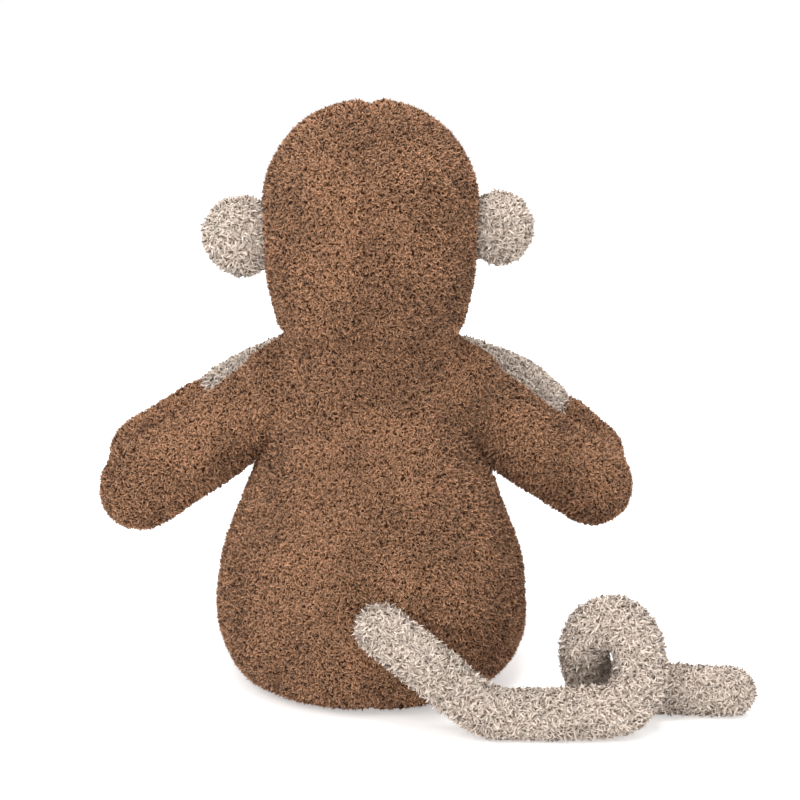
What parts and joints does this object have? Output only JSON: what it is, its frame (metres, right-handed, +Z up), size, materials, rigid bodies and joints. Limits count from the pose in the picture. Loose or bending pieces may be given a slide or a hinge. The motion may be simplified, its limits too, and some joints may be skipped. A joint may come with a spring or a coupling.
{
  "type": "stuffed monkey",
  "caption": "Seated plush monkey with folded arms, pale hands, feet and ears, and a long curled tail; limbs, ears, head and tail turn at their seams.",
  "frame": {"origin": "centre of the flat seat panel, on the surface that the toy sits on", "axes": "+Z up, the toy faces -Y, its own left side is +X"},
  "size_m": [0.3218, 0.3039, 0.294],
  "materials": {
    "brown_plush": "curly brown plush pile",
    "pale_plush": "longer shaggy beige plush pile",
    "filling": "polyester fibre filling",
    "pouch_cloth": "plain woven cotton",
    "pellets": "loose plastic pellets, held as one mass",
    "eyes": "polished",
    "washers": "moulded",
    "thread": "satin embroidery thread"
  },
  "bodies": {
    "torso": {"seat_panel": "brown_plush", "belly_panel": "brown_plush", "back_panel_left": "brown_plush", "back_panel_right": "brown_plush", "torso_filling": "filling", "pellet_pouch": "pouch_cloth", "pouch_pellets": "pellets"},
    "head": {"head_panel_left": "brown_plush", "head_panel_right": "brown_plush", "face_panel": "pale_plush", "muzzle_skin": "pale_plush", "head_filling": "filling", "muzzle_filling": "filling", "eye_left": "eyes", "eye_right": "eyes", "eye_washer_left": "washers", "eye_washer_right": "washers", "nose": "thread", "mouth_stitch": "thread"},
    "ear_left": {"ear_front_left": "pale_plush", "ear_back_left": "pale_plush", "ear_padding_left": "filling"},
    "upper_arm_left": {"upper_arm_sleeve_left": "brown_plush", "upper_arm_filling_left": "filling"},
    "forearm_left": {"forearm_sleeve_left": "brown_plush", "hand_left": "pale_plush", "forearm_filling_left": "filling"},
    "leg_left": {"leg_sleeve_left": "brown_plush", "foot_left": "pale_plush", "leg_filling_left": "filling"},
    "ear_right": {"ear_front_right": "pale_plush", "ear_back_right": "pale_plush", "ear_padding_right": "filling"},
    "upper_arm_right": {"upper_arm_sleeve_right": "brown_plush", "upper_arm_filling_right": "filling"},
    "forearm_right": {"forearm_sleeve_right": "brown_plush", "hand_right": "pale_plush", "forearm_filling_right": "filling"},
    "leg_right": {"leg_sleeve_right": "brown_plush", "foot_right": "pale_plush", "leg_filling_right": "filling"},
    "tail_root": {"tail_root_sleeve": "pale_plush", "tail_root_filling": "filling"},
    "tail_curl": {"tail_curl_sleeve": "pale_plush", "tail_curl_filling": "filling"}
  },
  "joints": [
    {"name": "head_nod", "type": "hinge", "parent": "torso", "child": "head", "pos_m": [0, 0, 0.172], "axis": [1, 0, 0], "range_deg": [-10, 10]},
    {"name": "ear_flop_left", "type": "hinge", "parent": "head", "child": "ear_left", "pos_m": [0.0505, 0, 0.228], "axis": [0, 0, 1], "range_deg": [-25, 25]},
    {"name": "shoulder_lift_left", "type": "hinge", "parent": "torso", "child": "upper_arm_left", "pos_m": [0.04362, 0, 0.1485], "axis": [0, -1, 0], "range_deg": [0, 60]},
    {"name": "elbow_open_left", "type": "hinge", "parent": "upper_arm_left", "child": "forearm_left", "pos_m": [0.13475, -0.02618, 0.08646], "axis": [0.5801, 0.1053, 0.8077], "range_deg": [0, 140]},
    {"name": "hip_lift_left", "type": "hinge", "parent": "torso", "child": "leg_left", "pos_m": [0.036, -0.06063, 0.02], "axis": [-1, 0, 0], "range_deg": [0, 40]},
    {"name": "ear_flop_right", "type": "hinge", "parent": "head", "child": "ear_right", "pos_m": [-0.0505, 0, 0.228], "axis": [0, 0, -1], "range_deg": [-25, 25]},
    {"name": "shoulder_lift_right", "type": "hinge", "parent": "torso", "child": "upper_arm_right", "pos_m": [-0.04362, 0, 0.1485], "axis": [0, 1, 0], "range_deg": [0, 60]},
    {"name": "elbow_open_right", "type": "hinge", "parent": "upper_arm_right", "child": "forearm_right", "pos_m": [-0.13037, -0.04587, 0.08249], "axis": [0.6283, -0.0738, -0.7745], "range_deg": [0, 140]},
    {"name": "hip_lift_right", "type": "hinge", "parent": "torso", "child": "leg_right", "pos_m": [-0.036, -0.06063, 0.02], "axis": [-1, 0, 0], "range_deg": [0, 40]},
    {"name": "tail_swing", "type": "hinge", "parent": "torso", "child": "tail_root", "pos_m": [-0.005, 0.07844, 0.046], "axis": [0, 0, 1], "range_deg": [-35, 12]},
    {"name": "tail_curl_swing", "type": "hinge", "parent": "tail_root", "child": "tail_curl", "pos_m": [-0.0727, 0.09144, 0.0115], "axis": [0, 0, 1], "range_deg": [-18, 18]}
  ]
}
